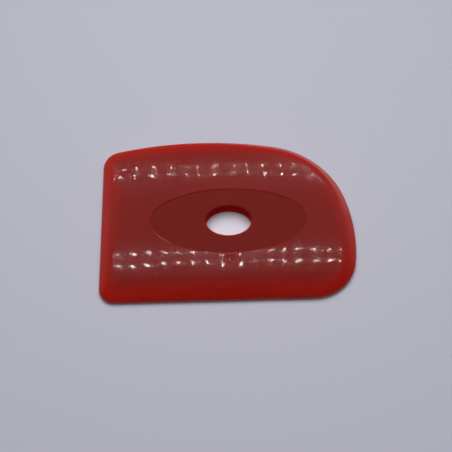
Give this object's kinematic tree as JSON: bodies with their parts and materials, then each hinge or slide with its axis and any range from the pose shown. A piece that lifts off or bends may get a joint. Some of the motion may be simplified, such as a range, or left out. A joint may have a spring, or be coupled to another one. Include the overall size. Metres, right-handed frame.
{
  "type": "pottery rib",
  "caption": "Flexible pottery rib: flat back, domed glossy face, thin rounded scraping rim with straight and curved sides, matte oval panel and oval finger hole.",
  "frame": {"origin": "middle of the blade's overall length and height, on the flat back", "axes": "+X along the straight bottom edge towards the curved end, +Y across the blade towards the long curved top edge, +Z out of the domed face"},
  "size_m": [0.127, 0.0904, 0.0068],
  "materials": {
    "red_polymer": "gloss"
  },
  "bodies": {
    "root": {"rib_blade": "red_polymer"}
  },
  "joints": []
}
